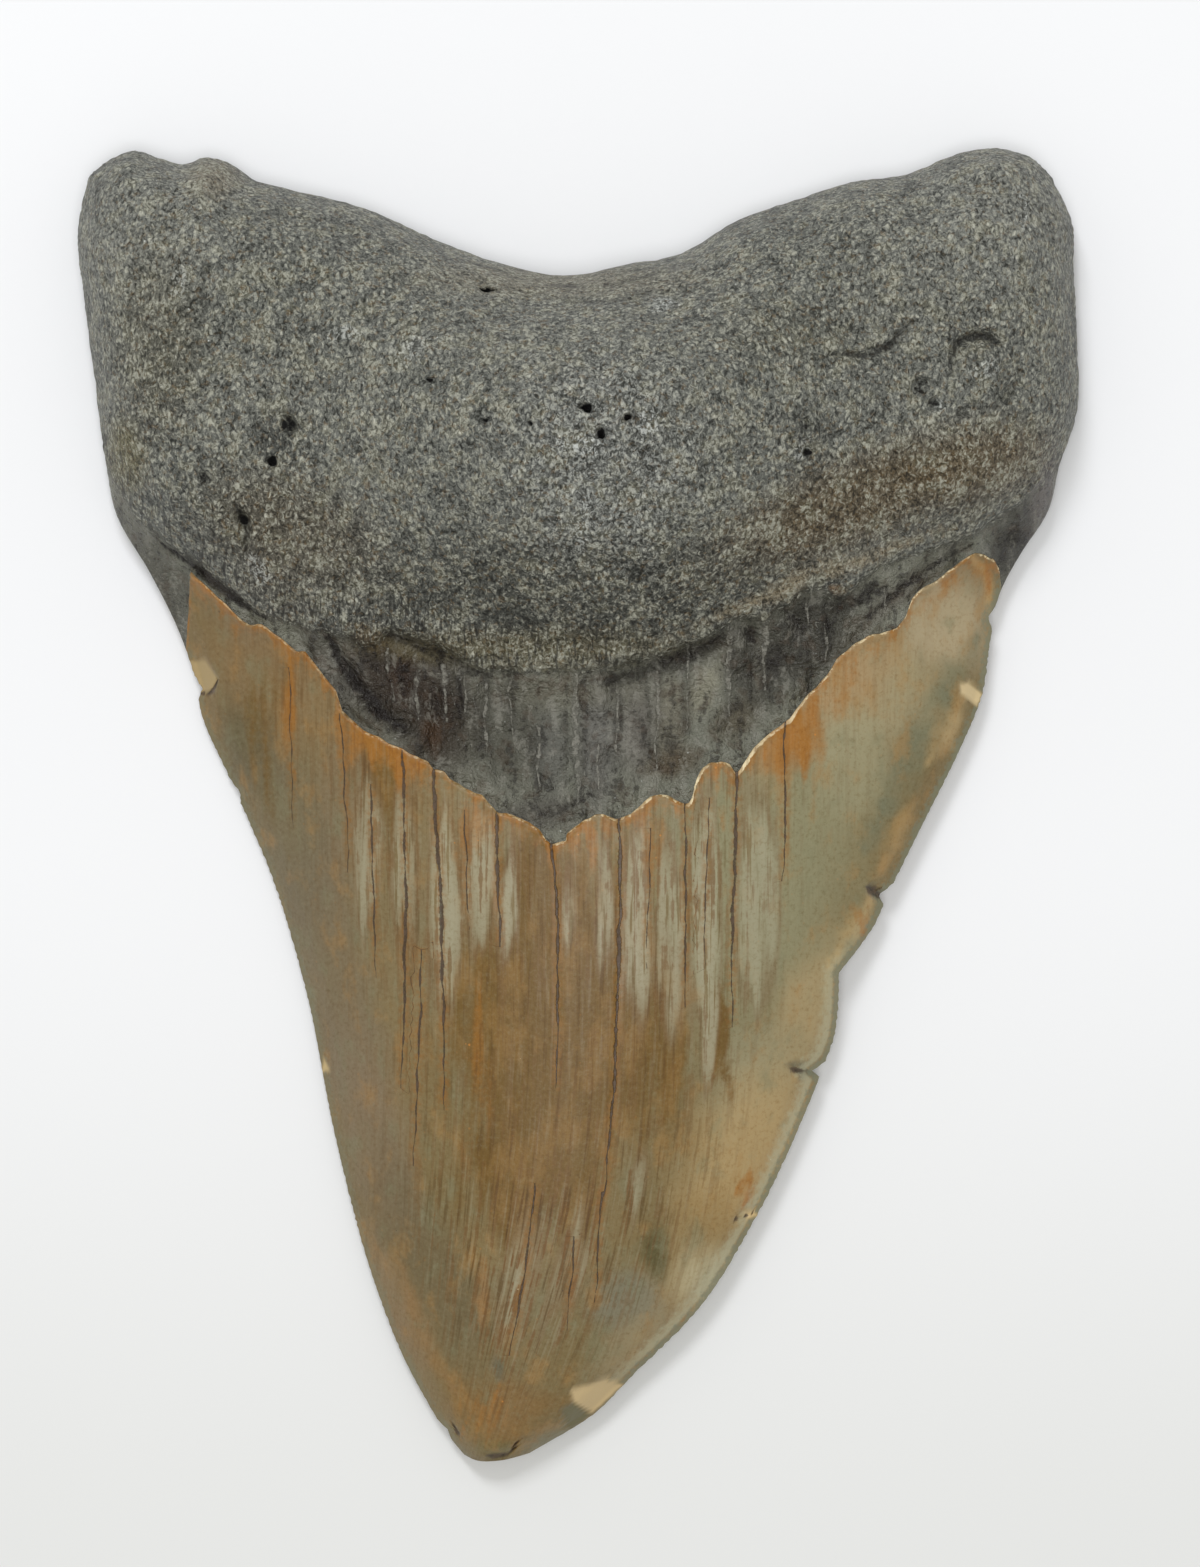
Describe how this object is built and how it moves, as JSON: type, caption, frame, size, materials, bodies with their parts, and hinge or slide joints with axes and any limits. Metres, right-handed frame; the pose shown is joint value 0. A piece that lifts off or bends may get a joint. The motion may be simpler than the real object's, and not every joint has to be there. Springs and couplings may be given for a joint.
{
  "type": "fossil shark tooth",
  "caption": "Large fossil megalodon tooth: rough two-lobed root over a broad triangular enamel crown, lying on its flat labial face.",
  "frame": {"origin": "centre of the tooth's box in plan, on the surface that its flat labial face lies on", "axes": "+Y from the crown's tip towards the root, +X across the tooth to the right with the root at the top, +Z out of the lingual face"},
  "size_m": [0.0995, 0.1314, 0.0278],
  "materials": {
    "fossil_tooth": "grainy charcoal-grey root, smooth near-black dental band, and satin olive-brown, orange and grey-green enamel with fine dark lengthwise cracks"
  },
  "bodies": {
    "root": {"tooth": "fossil_tooth"}
  },
  "joints": []
}
